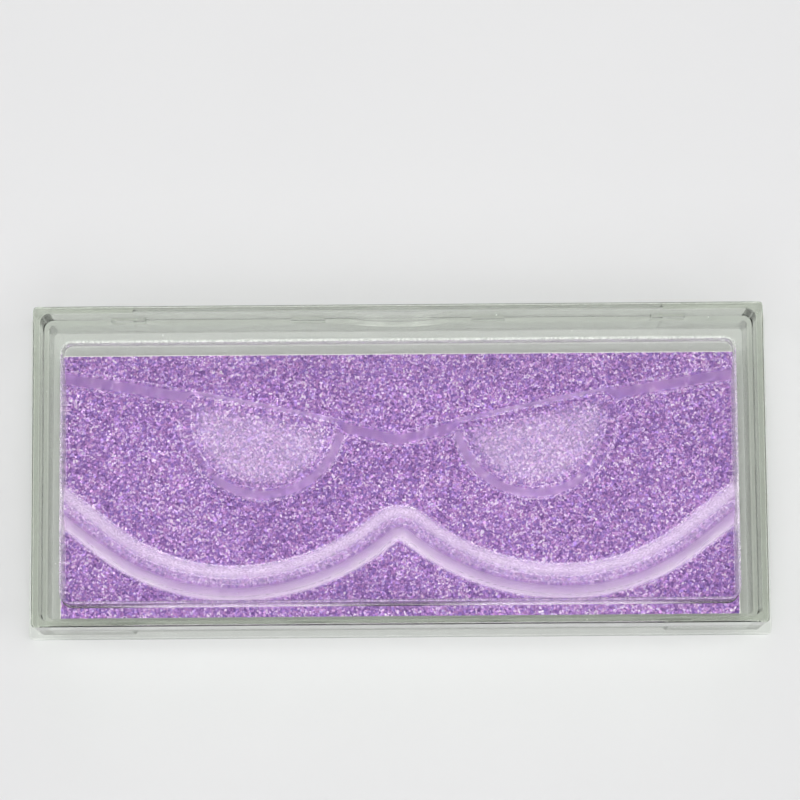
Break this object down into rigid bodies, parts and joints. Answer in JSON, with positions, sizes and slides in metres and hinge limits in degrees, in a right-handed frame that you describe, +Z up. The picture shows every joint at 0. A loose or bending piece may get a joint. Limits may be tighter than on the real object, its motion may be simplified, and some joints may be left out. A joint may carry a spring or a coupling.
{
  "type": "false eyelash case",
  "caption": "Shallow clear case for false eyelashes: flanged base with an inner rim, slip-on lid, glitter card and a formed tray with lash seats and a wavy tip ridge.",
  "frame": {"origin": "middle of the underside of the base", "axes": "+X along the case, +Y towards the brow side of the tray, +Z up through the lid"},
  "size_m": [0.112, 0.0492, 0.016],
  "materials": {
    "clear_shell": "clear moulded polystyrene, polished, faintly green at its edges",
    "clear_sheet": "thin clear formed sheet, glossy",
    "glitter_card": "lavender glitter face on white card"
  },
  "bodies": {
    "base": {"case_base": "clear_shell", "glitter_card": "glitter_card", "lash_tray": "clear_sheet"},
    "lid": {"case_lid": "clear_shell"}
  },
  "joints": [
    {"name": "lid_lift", "type": "slide", "parent": "base", "child": "lid", "axis": [0, 0, 1], "range_m": [0, 0.03]}
  ]
}
